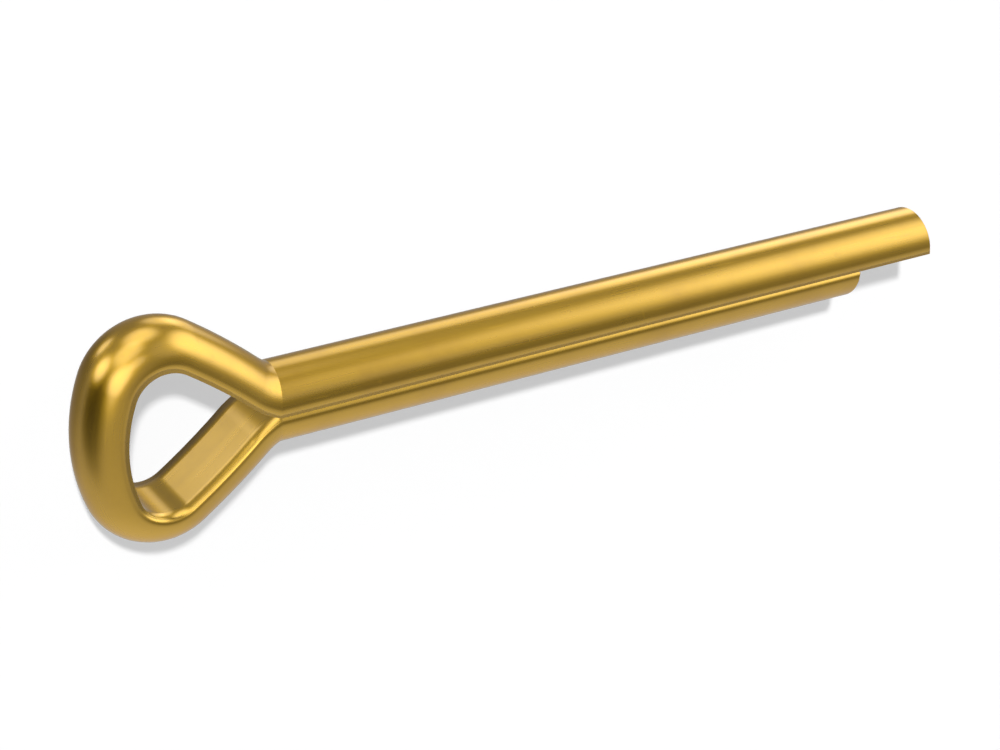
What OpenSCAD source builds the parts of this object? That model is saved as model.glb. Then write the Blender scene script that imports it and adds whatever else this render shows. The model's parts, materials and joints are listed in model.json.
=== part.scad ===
// Cotter pin (split pin) bent from one length of half-round brass wire.
// Millimetres. The legs lie along +X and the eye opens at -X, with the bend in the XY plane.
// Z is the width of the wire and the pin lies on its side, so Z is also up.
// The origin is on the axis of the shank, where the straight legs end and the bends begin.
// The long leg is on the +Y side, and the wire is followed by its flat inner side.

/* [Wire] */
// diameter of the round shank that the two half-round legs make together
shank_d = 4.6; // [3.7:0.1:5.2]
// rounding along the two edges of the flat inner side
edge_r = 0.26; // [0.1:0.02:0.5]
// clear space between the flat sides of the two legs
leg_gap = 0.07; // [0.04:0.01:0.3]

/* [Legs] */
// straight length of the long leg, from the neck to its cut end
long_leg_len = 46.05; // [20:0.05:120]
// straight length of the short leg, from the neck to its cut end
short_leg_len = 40.35; // [16:0.05:116]

/* [Neck] */
// angle of the sharp bend where each side leaves the shank
bend_angle = 21; // [17:0.5:25]
// radius of the flat side in that bend
bend_r = 0.55; // [0.4:0.05:0.9]
// greatest angle between each side and the shank, at the end of the neck
neck_angle = 41.8; // [40:0.1:46]
// radius of the flat side along the neck, which goes on turning outward
neck_r = 5; // [3.5:0.1:6]

/* [Eye] */
// clear width of the eye, measured across the shank direction
eye_inner_w = 8.6; // [7.8:0.1:10.4]
// bow radius of the two sides that spread from the neck
side_r = 36.8; // [30:0.2:60]
// radius of the flat side at the two shoulders of the eye
shoulder_r = 1.93; // [1.3:0.01:2.5]
// radius of the flat side over the crown, at the far end of the eye
crown_r = 8.7; // [5:0.1:30]

/* [Hidden] */
$fn = 64;
shank_r = shank_d / 2;
half_gap = leg_gap / 2;
// place of the edge rounding on the section
edge_x = edge_r;
edge_z = sqrt(pow(shank_r - edge_r, 2) - pow(edge_r + half_gap, 2));
edge_turn = atan2(edge_z, edge_x + half_gap);
// centre of the sharp bend, and of the neck that goes on from it, both outside the wire
bend_y = half_gap + bend_r;
neck_x = (neck_r - bend_r) * sin(bend_angle);
neck_y = bend_y + (neck_r - bend_r) * cos(bend_angle);
// centre of the bowed side, on the far side of the eye
side_x = neck_x - (neck_r + side_r) * sin(neck_angle);
side_y = neck_y - (neck_r + side_r) * cos(neck_angle);
// angle that is left when the side reaches the shoulder, to a thousandth of a degree
side_gap = side_r - shoulder_r;
shoulder_angle = round(1000 * acos((eye_inner_w / 2 - shoulder_r - side_y) / side_gap)) / 1000;
shoulder_x = side_x + side_gap * sin(shoulder_angle);
shoulder_y = side_y + side_gap * cos(shoulder_angle);
// half angle of the crown arc, which is tangent to both shoulders
crown_half_angle = round(1000 * asin(shoulder_y / (crown_r - shoulder_r))) / 1000;
crown_gap = shoulder_y / sin(crown_half_angle);
crown_bend_r = shoulder_r + crown_gap;
crown_x = shoulder_x + crown_gap * cos(crown_half_angle);
brass_colour = [0.84, 0.66, 0.28];

// Moves in two steps, first by whole hundredths and then by what is left over, so that no
// digit is lost when the positions are written out and the arcs meet exactly.
module place(x, y) {
    near_x = round(100 * x) / 100;
    near_y = round(100 * y) / 100;
    translate([near_x, near_y]) translate([x - near_x, y - near_y]) children();
}

// Half-round section of the wire: X runs outward from the flat side, Y across the width.
module wire_section() {
    big = 2 * shank_r;
    difference() {
        translate([-half_gap, 0]) circle(r = shank_r);
        translate([-big, -big]) square([big, 2 * big]);
        for (side = [-1, 1]) {
            polygon([
                [edge_x, side * edge_z],
                [-big, side * edge_z],
                [-big, side * (edge_z + big)],
                [edge_x + big * cos(edge_turn), side * (edge_z + big * sin(edge_turn))]
            ]);
        }
    }
    for (side = [-1, 1]) {
        translate([edge_x, side * edge_z]) circle(r = edge_r);
    }
}

// The wire along an arc of its flat side, with the round side outward.
module bend_outward(bend_r, from_angle, turn) {
    rotate_extrude(start = from_angle, angle = turn) {
        place(bend_r, 0) wire_section();
    }
}

// One straight leg, from the neck to its cut end.
module leg(leg_len) {
    translate([0, half_gap, 0]) rotate([90, 0, 90]) linear_extrude(height = leg_len) wire_section();
}

// The wire along an arc of its flat side, with the round side toward the centre.
// Past the centre the two sides of a sharp bend meet in a crease, so nothing is kept there.
module bend_inward(bend_r, from_angle, turn) {
    rotate_extrude(start = from_angle, angle = turn) {
        intersection() {
            translate([bend_r, 0]) mirror([1, 0]) wire_section();
            translate([0, -shank_d]) square([2 * shank_d, 2 * shank_d]);
        }
    }
}

// Sharp bend, neck, bowed side and shoulder of the half of the eye on the +Y side.
module eye_half() {
    translate([0, bend_y]) bend_inward(bend_r, 270 - bend_angle, bend_angle);
    place(neck_x, neck_y) bend_inward(neck_r, 270 - neck_angle, neck_angle - bend_angle);
    place(side_x, side_y)
        bend_outward(side_r, 90 - neck_angle, neck_angle - shoulder_angle);
    place(shoulder_x, shoulder_y)
        bend_outward(shoulder_r, 90 - shoulder_angle, 90 + shoulder_angle - crown_half_angle);
}

module cotter_pin() {
    color(brass_colour) {
        union() {
            leg(long_leg_len);
            mirror([0, 1, 0]) leg(short_leg_len);
            eye_half();
            mirror([0, 1, 0]) eye_half();
            place(crown_x, 0)
                bend_outward(crown_bend_r, 180 - crown_half_angle, 2 * crown_half_angle);
        }
    }
}

cotter_pin();
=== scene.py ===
# Cotter pin folded from half-round brass wire, lying on its side on a pale studio floor.
# The wire is swept here as one fine mesh along the flat line that the solid follows.
import json
import math

import bmesh
import bpy
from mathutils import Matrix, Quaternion, Vector


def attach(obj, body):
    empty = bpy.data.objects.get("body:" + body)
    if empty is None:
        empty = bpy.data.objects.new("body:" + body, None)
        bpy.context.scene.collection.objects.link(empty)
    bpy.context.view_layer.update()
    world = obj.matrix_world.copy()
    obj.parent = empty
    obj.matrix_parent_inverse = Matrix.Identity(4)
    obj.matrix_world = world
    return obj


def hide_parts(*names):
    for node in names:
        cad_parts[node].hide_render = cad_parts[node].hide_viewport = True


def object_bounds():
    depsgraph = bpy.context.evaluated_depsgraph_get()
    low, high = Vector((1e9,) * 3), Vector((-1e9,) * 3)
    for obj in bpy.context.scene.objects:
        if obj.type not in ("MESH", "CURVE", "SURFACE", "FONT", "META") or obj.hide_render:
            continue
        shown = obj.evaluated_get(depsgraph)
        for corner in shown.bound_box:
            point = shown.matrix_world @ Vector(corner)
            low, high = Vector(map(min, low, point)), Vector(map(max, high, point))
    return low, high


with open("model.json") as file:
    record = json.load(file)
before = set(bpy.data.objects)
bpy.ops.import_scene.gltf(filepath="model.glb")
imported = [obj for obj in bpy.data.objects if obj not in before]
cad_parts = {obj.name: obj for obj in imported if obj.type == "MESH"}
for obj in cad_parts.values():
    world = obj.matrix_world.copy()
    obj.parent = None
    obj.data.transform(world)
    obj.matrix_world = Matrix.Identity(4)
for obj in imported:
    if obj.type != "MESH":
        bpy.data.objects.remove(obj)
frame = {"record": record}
cad_low, cad_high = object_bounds()

MM = 0.001

# ---------------------------------------------------------------- sizes of the wire and its bends
SHANK_R = frame["record"]["mounts"][0]["dims"]["r_mm"] * MM
LONG_LEG = cad_high.x
SHORT_LEG = 40.35 * MM
HALF_GAP = 0.035 * MM

BEND_ANGLE = math.radians(21)
BEND_R = 0.55 * MM
NECK_ANGLE = math.radians(41.8)
NECK_R = 5.0 * MM
EYE_HALF_W = cad_high.y - SHANK_R + HALF_GAP
SIDE_R = 36.8 * MM
SHOULDER_R = 1.93 * MM
CROWN_R = 8.7 * MM

# Each edge of the flat side is shaded soft: one band runs from EDGE_TURN on the round back to the
# edge, where the shading faces the edge angle, and a second one from there to EDGE_START on the flat.
# The edge angle of the legs changes to that of the eye over the neck.
EDGE_TURN = math.acos((BEND_R + HALF_GAP) / SHANK_R)
EDGE_HIGH = cad_high.z
LEG_EDGE, EYE_EDGE = math.radians(131), math.radians(150)
EDGE_START = 1.5 * MM

BEND_Y = HALF_GAP + BEND_R
NECK_X = (NECK_R - BEND_R) * math.sin(BEND_ANGLE)
NECK_Y = BEND_Y + (NECK_R - BEND_R) * math.cos(BEND_ANGLE)
SIDE_X = NECK_X - (NECK_R + SIDE_R) * math.sin(NECK_ANGLE)
SIDE_Y = NECK_Y - (NECK_R + SIDE_R) * math.cos(NECK_ANGLE)
SHOULDER_ANGLE = math.acos((EYE_HALF_W - SHOULDER_R - SIDE_Y) / (SIDE_R - SHOULDER_R))
SHOULDER_X = SIDE_X + (SIDE_R - SHOULDER_R) * math.sin(SHOULDER_ANGLE)
SHOULDER_Y = SIDE_Y + (SIDE_R - SHOULDER_R) * math.cos(SHOULDER_ANGLE)
CROWN_HALF = math.asin(SHOULDER_Y / (CROWN_R - SHOULDER_R))
CROWN_X = SHOULDER_X + (CROWN_R - SHOULDER_R) * math.cos(CROWN_HALF)

BACK_STEPS, LEG_STEPS, BEND_STEPS, NECK_STEPS = 36, 70, 10, 16
SIDE_STEPS, SHOULDER_STEPS, CROWN_STEPS = 18, 64, 26
# The sheared edge of each cut end: how far back from the cut, and how far in from the surface.
CUT_EDGE = [(0.0, 0.04 * MM), (0.012 * MM, 0.012 * MM), (0.04 * MM, 0.0)]
# Points nearer than WELD are one point. A bend sharper than SHARP_BEND is shaded as an edge, apart
# from the two edges of the flat.
WELD = 0.2e-6
SHARP_BEND = math.radians(4)
# The wire map holds centimetres along the wire and round its section. On it, the edges of the flat
# are rubbed bright up to the first distance, and no more past the second one.
MAP_SCALE = 100
RUBBED_REACH = (0.01, 0.03)


def wire_section():
    """Half-round section as (outward, width, normal out, normal width, distance round it)."""
    back = []
    for i in range(BACK_STEPS + 1):
        t = EDGE_TURN * i / BACK_STEPS
        back.append((SHANK_R * math.cos(t) - HALF_GAP, SHANK_R * math.sin(t),
                     math.cos(t), math.sin(t)))
    edge = [(0, EDGE_HIGH, math.cos(LEG_EDGE), math.sin(LEG_EDGE))]
    flat = [(0, EDGE_START * share, -1, 0) for share in (1, 0.75, 0.4)]
    half = back + edge + flat
    points = half + [(0, 0, -1, 0)] + [(out, -width, normal_out, -normal_width)
                                       for out, width, normal_out, normal_width in half[:0:-1]]
    ring, around = [], 0.0
    for i, point in enumerate(points):
        if i:
            around += math.dist(point[:2], points[i - 1][:2])
        ring.append((*point, around))
    return ring


SECTION = wire_section()
# Distance round the section, from the middle of the round back to the middle of the flat.
HALF_ROUND = SECTION[len(SECTION) // 2][-1]


def crease_at(out):
    """Place along the leg, and angle on the neck, where the neck rises out of the leg."""
    if out <= BEND_R:
        return 0.0, BEND_ANGLE
    turn = math.acos((NECK_Y - HALF_GAP - out) / (NECK_R - out))
    return NECK_X - (NECK_R - out) * math.sin(turn), turn


def half_wire(point, leg):
    """One section point from the cut end of a leg to the middle of the crown, as (x, y, z, turn).

    The wire's outward side faces (sin(turn), cos(turn)).
    """
    out, width, normal_out, normal_width, _ = point
    start, first = crease_at(out)
    places = [(leg - setback, HALF_GAP + out - inset * normal_out, width - inset * normal_width, 0)
              for setback, inset in CUT_EDGE]
    back = leg - CUT_EDGE[-1][0]
    for i in range(1, LEG_STEPS + 1):
        places.append((back + (start - back) * i / LEG_STEPS, HALF_GAP + out, width, 0))

    def arc(x, y, radius, low, high, steps):
        for i in range(1, steps + 1):
            turn = low + (high - low) * i / steps
            places.append((x + radius * math.sin(turn), y + radius * math.cos(turn), width, turn))

    if out <= BEND_R:
        arc(0, BEND_Y, out - BEND_R, 0, BEND_ANGLE, BEND_STEPS)
    else:
        places.extend((start, HALF_GAP + out, width, first * i / BEND_STEPS)
                      for i in range(1, BEND_STEPS + 1))
    arc(NECK_X, NECK_Y, out - NECK_R, first, NECK_ANGLE, NECK_STEPS)
    arc(SIDE_X, SIDE_Y, out + SIDE_R, NECK_ANGLE, SHOULDER_ANGLE, SIDE_STEPS)
    arc(SHOULDER_X, SHOULDER_Y, out + SHOULDER_R, SHOULDER_ANGLE, CROWN_HALF - math.pi / 2,
        SHOULDER_STEPS)
    arc(CROWN_X, 0, out + CROWN_R, CROWN_HALF - math.pi / 2, -math.pi / 2, CROWN_STEPS)
    return places


def shading(point, x, turn, side):
    """Which way the wire is shaded at one section point; side is -1 on the side of the short leg."""
    _, width, normal_out, normal_width, _ = point
    if abs(width) == EDGE_HIGH:
        share = min(1, max(0, -x / NECK_X))
        angle = LEG_EDGE + (EYE_EDGE - LEG_EDGE) * share
        normal_out, normal_width = math.cos(angle), math.copysign(math.sin(angle), width)
    return (normal_out * math.sin(turn), side * normal_out * math.cos(turn), normal_width)


def wire_mesh():
    """The whole wire: long leg, neck, eye, neck and short leg in one closed skin."""
    lines, facings = [], []
    for point in SECTION:
        upper, lower = half_wire(point, LONG_LEG), half_wire(point, SHORT_LEG)
        lines.append([(x, y, z) for x, y, z, _ in upper]
                     + [(x, -y, z) for x, y, z, _ in lower[-2::-1]])
        facings.append([shading(point, x, turn, 1) for x, _, _, turn in upper]
                       + [shading(point, x, turn, -1) for x, _, _, turn in lower[-2::-1]])
    stations = len(lines[0])
    along = [0.0]
    flat = lines[len(SECTION) // 2]
    for i in range(1, stations):
        along.append(along[-1] + math.dist(flat[i], flat[i - 1]))
    around = [point[-1] for point in SECTION]
    around.append(around[-1] + math.dist(SECTION[-1][:2], SECTION[0][:2]))

    skin = bmesh.new()
    wire_map = skin.loops.layers.uv.new("wire")
    facing = skin.loops.layers.float_vector.new("facing")
    verts = [[skin.verts.new(line[i]) for line in lines] for i in range(stations)]
    count = len(SECTION)
    cut = len(CUT_EDGE) - 1
    for i in range(stations - 1):
        for j in range(count):
            k = (j + 1) % count
            face = skin.faces.new((verts[i][j], verts[i][k], verts[i + 1][k], verts[i + 1][j]))
            face.smooth = True
            left, right = around[j], around[j + 1]
            marks = ((i, j, left), (i, k, right), (i + 1, k, right), (i + 1, j, left))
            for loop, (step, point, distance) in zip(face.loops, marks):
                loop[wire_map].uv = (along[step] * MAP_SCALE, distance * MAP_SCALE)
                if cut <= i < stations - 1 - cut:
                    loop[facing] = facings[point][step]
    ends = [skin.faces.new(verts[0][::-1]), skin.faces.new(verts[-1])]
    for face in ends:
        face.material_index = 1
        for loop in face.loops:
            loop[wire_map].uv = (loop.vert.co.y * MAP_SCALE, loop.vert.co.z * MAP_SCALE)
    bmesh.ops.remove_doubles(skin, verts=skin.verts, dist=WELD)
    bmesh.ops.recalc_face_normals(skin, faces=skin.faces)
    for edge in skin.edges:
        soft = all(abs(abs(vert.co.z) - EDGE_HIGH) < WELD / 2 for vert in edge.verts)
        if not soft and edge.calc_face_angle(0) > SHARP_BEND:
            edge.smooth = False
    mesh = bpy.data.meshes.new("brass_wire")
    skin.to_mesh(mesh)
    skin.free()
    mesh.normals_split_custom_set([tuple(loop.vector) for loop in mesh.attributes["facing"].data])
    mesh.attributes.remove(mesh.attributes["facing"])
    return mesh


wire = bpy.data.objects.new("brass_wire", wire_mesh())
bpy.context.collection.objects.link(wire)
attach(wire, "root")
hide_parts("cotter_pin")
wire.visible_glossy = False
wire.visible_diffuse = False


# ---------------------------------------------------------------- shader expressions
class Signal:
    """One output of a shader node that takes part in Python expressions."""

    def __init__(self, graph, socket):
        self.graph, self.socket = graph, socket

    def _math(self, operation, *terms):
        return self.graph.node("ShaderNodeMath", {"operation": operation}, terms)

    def __add__(self, other):
        return self._math("ADD", self, other)

    def __sub__(self, other):
        return self._math("SUBTRACT", self, other)

    def __rsub__(self, other):
        return self._math("SUBTRACT", other, self)

    def __mul__(self, other):
        return self._math("MULTIPLY", self, other)

    def __abs__(self):
        return self._math("ABSOLUTE", self)

    def __pow__(self, other):
        return self._math("POWER", self, other)

    __radd__, __rmul__ = __add__, __mul__

    def at_least(self, low):
        return self._math("MAXIMUM", self, low)

    def above(self, low, high):
        """0 below low, 1 above high and a smooth step between."""
        return self.graph.node("ShaderNodeMapRange", {"interpolation_type": "SMOOTHSTEP"},
                               (self, low, high))

    def feeds(self, shader, name):
        self.graph.tree.links.new(self.socket, shader.inputs[name])


class Graph:
    """Makes the nodes of one material or of the world."""

    def __init__(self, tree):
        self.tree = tree

    def node(self, kind, settings=None, values=(), out=0):
        made = self.tree.nodes.new(kind)
        for name, value in (settings or {}).items():
            setattr(made, name, value)
        places = values if isinstance(values, dict) else dict(enumerate(values))
        for place, value in places.items():
            if isinstance(value, Signal):
                self.tree.links.new(value.socket, made.inputs[place])
            else:
                made.inputs[place].default_value = value
        return Signal(self, made.outputs[out])

    def mix(self, share, first, second):
        """From the first colour to the second as share goes from 0 to 1."""
        settings = {"data_type": "RGBA", "clamp_factor": True}
        return self.node("ShaderNodeMix", settings, {0: share, 6: first, 7: second}, out=2)

    def stretched(self, place, scales, turn=(0, 0, 0)):
        """The place turned by some angles and then scaled, for a pattern that is longer one way."""
        return self.node("ShaderNodeMapping", {"vector_type": "POINT"},
                         {"Vector": place, "Rotation": turn, "Scale": scales})

    def noise(self, place, scale=1.0, detail=2.0, rough=0.5):
        return self.node("ShaderNodeTexNoise", None,
                         {"Vector": place, "Scale": scale, "Detail": detail, "Roughness": rough})


def toward(azimuth, elevation):
    """Unit vector with the given compass angle from +X and height above the floor."""
    turn, rise = math.radians(azimuth), math.radians(elevation)
    return (math.cos(turn) * math.cos(rise), math.sin(turn) * math.cos(rise), math.sin(rise))


# ---------------------------------------------------------------- finish
BRASS = (0.78, 0.46, 0.025, 1)
TARNISHED = (0.63, 0.35, 0.02, 1)
RUBBED = (0.85, 0.52, 0.04, 1)
# How far a height of 1 stands out of the surface.
RELIEF = 0.03 * MM


def lacquered(name, finish):
    """A brass with a thin clear lacquer, with colour, roughness and relief from its own finish."""
    brass = bpy.data.materials.new(name)
    brass.use_nodes = True
    shader = brass.node_tree.nodes["Principled BSDF"]
    for socket, value in (("Metallic", 1), ("Specular Tint", (0.99, 0.75, 0.2, 1)),
                          ("Coat Weight", 1), ("Coat Roughness", 0.13), ("Coat IOR", 1.7)):
        shader.inputs[socket].default_value = value
    graph = Graph(brass.node_tree)
    colour, roughness, height = finish(graph)
    colour.feeds(shader, "Base Color")
    roughness.feeds(shader, "Roughness")
    relief = graph.node("ShaderNodeBump", None, {"Distance": RELIEF, "Height": height})
    relief.feeds(shader, "Normal")
    return brass


def drawn(graph):
    """Round back and flat of the wire: die lines along it, cloudy tarnish, nicks and rubbed edges."""
    place = graph.node("ShaderNodeTexCoord", out="Object")
    along_wire = graph.node("ShaderNodeUVMap", {"uv_map": "wire"})
    around = graph.node("ShaderNodeSeparateXYZ", None, (along_wire,), out="Y")

    fine_lines = graph.noise(graph.stretched(along_wire, (1.4, 95, 1)), detail=3)
    broad_lines = graph.noise(graph.stretched(along_wire, (0.35, 24, 1)), detail=1)
    clouds = graph.noise(place, 330, 4, 0.55)
    specks = graph.noise(place, 4200, 2)
    nicks = (graph.noise(graph.stretched(place, (300, 4200, 4200), (0.4, 0.5, 0.7)), detail=1)
             .above(0.71, 0.76)
             + graph.noise(graph.stretched(place, (3600, 260, 3600), (0.3, -0.6, 0.2)), detail=1)
             .above(0.72, 0.77))
    from_flat = abs(around - HALF_ROUND * MAP_SCALE)
    rubbed = 1 - abs(from_flat - EDGE_HIGH * MAP_SCALE).above(*RUBBED_REACH)

    colour = graph.mix(0.5 * clouds.above(0.42, 0.75), BRASS, TARNISHED)
    colour = graph.mix(0.3 * rubbed * specks.above(0.35, 0.6) + 0.12 * fine_lines.above(0.5, 0.8),
                       colour, RUBBED)
    roughness = (0.29 + 0.06 * (fine_lines - 0.5) + 0.08 * (broad_lines - 0.5)
                 + 0.08 * (clouds - 0.5) + 0.06 * nicks - 0.03 * rubbed)
    height = 0.04 * fine_lines + 0.12 * broad_lines + 0.03 * specks - 0.04 * nicks
    return colour, roughness, height


def sheared(graph):
    """Cut ends of the legs: parallel marks of the shear over a grainy torn face."""
    place = graph.node("ShaderNodeTexCoord", out="Object")
    marks = graph.noise(graph.stretched(place, (1, 900, 9000)), detail=3)
    grain = graph.noise(place, 3600, 3)
    colour = graph.mix(0.6 * marks.above(0.4, 0.7), TARNISHED, RUBBED)
    roughness = 0.38 + 0.16 * (grain - 0.5) + 0.1 * (marks - 0.5)
    height = 1.2 * marks + 0.5 * grain
    return colour, roughness, height


wire.data.materials.append(lacquered("drawn_brass", drawn))
wire.data.materials.append(lacquered("sheared_brass", sheared))

# ---------------------------------------------------------------- floor, light and camera
# How far the floor reaches each way from the pin, in metres.
FLOOR_REACH = 5
floor_mesh = bpy.data.meshes.new("floor")
floor_corners = [(FLOOR_REACH * x, FLOOR_REACH * y, 0) for x, y in ((-1, -1), (1, -1), (1, 1), (-1, 1))]
floor_mesh.from_pydata(floor_corners, [], [(0, 1, 2, 3)])
floor = bpy.data.objects.new("floor", floor_mesh)
floor.location.z = cad_low.z
bpy.context.collection.objects.link(floor)
paper = bpy.data.materials.new("white_paper")
paper.use_nodes = True
paper_shader = paper.node_tree.nodes["Principled BSDF"]
paper_shader.inputs["Base Color"].default_value = (0.88, 0.88, 0.88, 1)
paper_shader.inputs["Roughness"].default_value = 1
paper_shader.inputs["Specular IOR Level"].default_value = 0
floor.data.materials.append(paper)
floor.visible_glossy = False

# The studio is a dim room with one bright wall, on the -Y side. No part of it is darker than DARKEST.
ROOM, WALL, DARKEST = 0.27, 0.4, 0.02
# A lamp is even over its core and fades out to its rim, both as shares of its radius.
LAMP_CORE, LAMP_RIM = 0.5, 1.32
# Soft round lamps: compass angle, height, radius in degrees and strength.
LAMPS = [
    (155, 50, 20, 2.0),
    (115, 20, 20, 1.25),
    (110, 55, 10, 1.0),
    (90, -5, 20, 1.25),
    (150, -5, 15, 2.0),
    (130, -45, 10, 1.25),
    (50, -40, 15, 0.9),
    (30, -35, 15, 0.9),
    (30, 15, 25, 1.5),
    (55, 40, 20, 0.25),
]
# Dark cards take light away: compass angle, height, radius in degrees and strength.
DARK_CARDS = [
    (-175, 10, 30, 0.3),
    (-10, 65, 20, 0.15),
    (-170, -65, 30, 0.15),
]
world = bpy.data.worlds.new("studio")
bpy.context.scene.world = world
world.use_nodes = True
background = world.node_tree.nodes["Background"]
sky = Graph(world.node_tree)
direction = sky.node("ShaderNodeTexCoord", out="Generated")


def facing(way):
    """Cosine of the angle between the looked-at direction and the given one."""
    return sky.node("ShaderNodeVectorMath", {"operation": "DOT_PRODUCT"}, (direction, way), out="Value")


def disc(azimuth, height, radius):
    """1 in a round patch of the surroundings, fading to 0 about the given radius in degrees."""
    core, rim = math.cos(math.radians(LAMP_CORE * radius)), math.cos(math.radians(LAMP_RIM * radius))
    return facing(toward(azimuth, height)).above(rim, core)


# The wall is full bright straight towards -Y and falls off to nothing at +Y.
glow = ROOM + WALL * (0.5 + 0.5 * facing((0, -1, 0))) ** 3
for azimuth, height, radius, strength in LAMPS:
    glow = glow + strength * disc(azimuth, height, radius)
for azimuth, height, radius, strength in DARK_CARDS:
    glow = glow - strength * disc(azimuth, height, radius)
glow.at_least(DARKEST).feeds(background, "Strength")
background.inputs["Color"].default_value = (1, 1, 1, 1)

# The window, on the +Y side, throws the pin's shadow on the floor: compass angle, height and width
# in degrees. Its light is a share of full white on the level floor.
WINDOW_AZIMUTH, WINDOW_HEIGHT, WINDOW_WIDTH = 115, 47, 4.5
WINDOW_LIGHT = 0.48
sun = bpy.data.lights.new("window", "SUN")
sun.energy = WINDOW_LIGHT * math.pi / math.sin(math.radians(WINDOW_HEIGHT))
sun.angle = math.radians(WINDOW_WIDTH)
window = bpy.data.objects.new("window", sun)
to_window = Vector(toward(WINDOW_AZIMUTH, WINDOW_HEIGHT))
window.rotation_euler = to_window.to_track_quat("Z", "Y").to_euler()
window.visible_glossy = False
bpy.context.collection.objects.link(window)

# The camera looks down at a point near the middle of the pin and is rolled, so that the pin rises to
# the right: angles in degrees, lengths in mm.
CAMERA_AZIMUTH, CAMERA_HEIGHT, CAMERA_ROLL = 136.93, 49.08, 126.64
CAMERA_AIM, CAMERA_DISTANCE = (15.24, -2.08, 0), 132.4
CAMERA_SENSOR, CAMERA_LENS = 36, 81.5
camera = bpy.data.objects.new("camera", bpy.data.cameras.new("camera"))
bpy.context.collection.objects.link(camera)
camera.data.sensor_width = CAMERA_SENSOR
camera.data.lens = CAMERA_LENS
camera.data.clip_start = 0.01
camera.data.clip_end = 10
back = Vector(toward(CAMERA_AZIMUTH, CAMERA_HEIGHT))
upright = back.to_track_quat("Z", "Y")
camera.rotation_euler = (upright @ Quaternion((0, 0, 1), math.radians(CAMERA_ROLL))).to_euler()
camera.location = Vector(CAMERA_AIM) * MM + CAMERA_DISTANCE * MM * back
bpy.context.scene.camera = camera

bpy.context.scene.view_settings.view_transform = "Standard"
